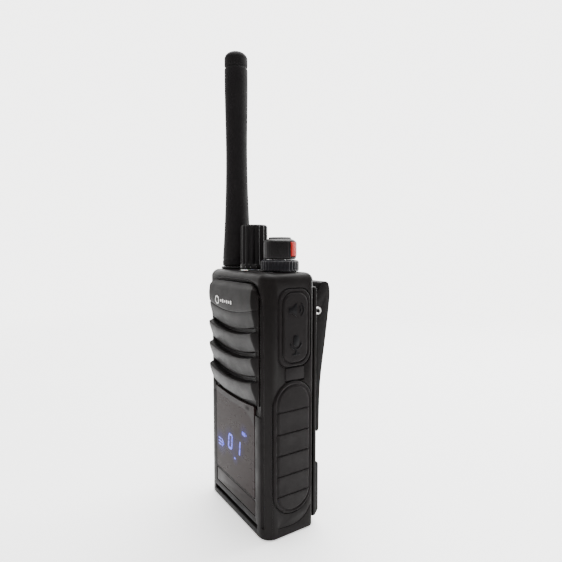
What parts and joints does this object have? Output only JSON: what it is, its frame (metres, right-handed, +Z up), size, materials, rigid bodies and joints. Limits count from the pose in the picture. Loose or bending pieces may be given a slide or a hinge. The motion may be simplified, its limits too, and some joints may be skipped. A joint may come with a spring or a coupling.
{
  "type": "portable radio",
  "caption": "Black handheld two-way radio with a whip antenna, two top knobs, louvred speaker front, side keys, tilt-out battery and sprung belt clip.",
  "frame": {"origin": "centre of the whole radio's footprint, on the surface it stands on", "axes": "+Z up along the antenna, -Y out of the front face, +X to the right of a person facing the front"},
  "size_m": [0.062, 0.0488, 0.237],
  "materials": {
    "casing_plastic": "fine spark texture, satin",
    "battery_plastic": "fine spark texture, matte",
    "knob_plastic": "satin moulded",
    "side_rubber": "soft matte",
    "antenna_rubber": "matte moulded",
    "key_rubber": "soft matte",
    "smoked_window": "smoked, glossy",
    "lamp_lens": "clear, frosted inside",
    "pointer_red": "semi-gloss",
    "steel": "plated",
    "gold_contact": "gold plated",
    "cast_alloy": "as cast",
    "circuit_board": "solder mask",
    "component_black": "moulded",
    "speaker_felt": "woven felt",
    "cell_wrap": "shrink film"
  },
  "bodies": {
    "casing": {"front_housing": "casing_plastic", "speaker_grille": "casing_plastic", "display_window": "smoked_window", "display_module": "component_black", "lower_trim": "casing_plastic", "speaker_felt": "speaker_felt", "speaker_basket": "steel", "speaker_cone": "component_black", "speaker_magnet": "steel", "microphone": "steel", "main_board": "circuit_board", "chassis": "cast_alloy", "chassis_gasket": "side_rubber", "chassis_screw_1": "steel", "chassis_screw_2": "steel", "chassis_screw_3": "steel", "chassis_screw_4": "steel", "contact_block": "gold_contact", "accessory_jack": "component_black", "cover_strap": "side_rubber", "right_grip": "side_rubber", "left_grip": "side_rubber", "key_board": "circuit_board", "talk_button_switch": "component_black", "upper_side_key_switch": "component_black", "lower_side_key_switch": "component_black", "antenna_gasket": "side_rubber", "antenna_socket": "gold_contact", "channel_nut": "steel", "channel_encoder": "component_black", "volume_collar": "knob_plastic", "volume_switch": "component_black", "status_lens": "lamp_lens", "latch_spring": "steel"},
    "accessory_cover": {"accessory_cover": "side_rubber"},
    "talk_button": {"talk_button": "key_rubber"},
    "upper_side_key": {"upper_side_key": "key_rubber"},
    "lower_side_key": {"lower_side_key": "key_rubber"},
    "antenna_stud": {"antenna_stud": "steel"},
    "antenna": {"antenna_whip": "antenna_rubber", "antenna_element": "steel", "antenna_cap": "antenna_rubber"},
    "channel_knob": {"channel_knob": "knob_plastic", "channel_shaft": "steel"},
    "volume_knob": {"volume_knob": "knob_plastic", "volume_pointer": "pointer_red", "volume_shaft": "steel"},
    "battery": {"battery_shell": "battery_plastic", "battery_lid": "battery_plastic", "battery_cell_left": "cell_wrap", "battery_cell_right": "cell_wrap", "battery_board": "circuit_board", "battery_contacts": "gold_contact", "clip_bracket": "battery_plastic", "clip_pin": "steel", "clip_spring": "steel", "bracket_screw_left": "steel", "bracket_screw_right": "steel"},
    "battery_latch": {"battery_latch": "battery_plastic"},
    "belt_clip": {"belt_clip": "battery_plastic"}
  },
  "joints": [
    {"name": "channel_turn", "type": "hinge", "parent": "casing", "child": "channel_knob", "pos_m": [-0.0035, -0.00735, 0.1236], "axis": [0, 0, -1], "range_deg": [0, 337.5]},
    {"name": "volume_turn", "type": "hinge", "parent": "casing", "child": "volume_knob", "pos_m": [0.0175, -0.00535, 0.1236], "axis": [0, 0, -1], "range_deg": [-120, 170]},
    {"name": "talk_press", "type": "slide", "parent": "casing", "child": "talk_button", "axis": [1, 0, 0], "range_m": [0, 0.0009], "stiffness_N_per_m": 3000},
    {"name": "upper_key_press", "type": "slide", "parent": "casing", "child": "upper_side_key", "axis": [1, 0, 0], "range_m": [0, 0.0009], "stiffness_N_per_m": 2500},
    {"name": "lower_key_press", "type": "slide", "parent": "casing", "child": "lower_side_key", "axis": [1, 0, 0], "range_m": [0, 0.0009], "stiffness_N_per_m": 2500},
    {"name": "cover_open", "type": "hinge", "parent": "casing", "child": "accessory_cover", "pos_m": [0.031, -0.00525, 0.0803], "axis": [0, 1, 0], "range_deg": [0, 105], "stiffness_Nm_per_rad": 0.01},
    {"name": "antenna_lift", "type": "slide", "parent": "casing", "child": "antenna_stud", "axis": [0, 0, 1], "range_m": [0, 0.0029]},
    {"name": "antenna_turn", "type": "hinge", "parent": "antenna_stud", "child": "antenna", "pos_m": [-0.0203, -0.00835, 0.1236], "axis": [0, 0, 1], "range_deg": [0, 1440]},
    {"name": "battery_tilt", "type": "hinge", "parent": "casing", "child": "battery", "pos_m": [0, 0.00565, 0.1172], "axis": [1, 0, 0], "range_deg": [0, 35]},
    {"name": "clip_open", "type": "hinge", "parent": "battery", "child": "belt_clip", "pos_m": [0, 0.01645, 0.1033], "axis": [1, 0, 0], "range_deg": [0, 18], "stiffness_Nm_per_rad": 0.35},
    {"name": "latch_press", "type": "slide", "parent": "casing", "child": "battery_latch", "axis": [0, -1, 0], "range_m": [0, 0.0015], "stiffness_N_per_m": 1200}
  ],
  "couplings": [
    {"joint": "antenna_lift", "follows": "antenna_turn", "m_per_rad": 0.00011141}
  ]
}
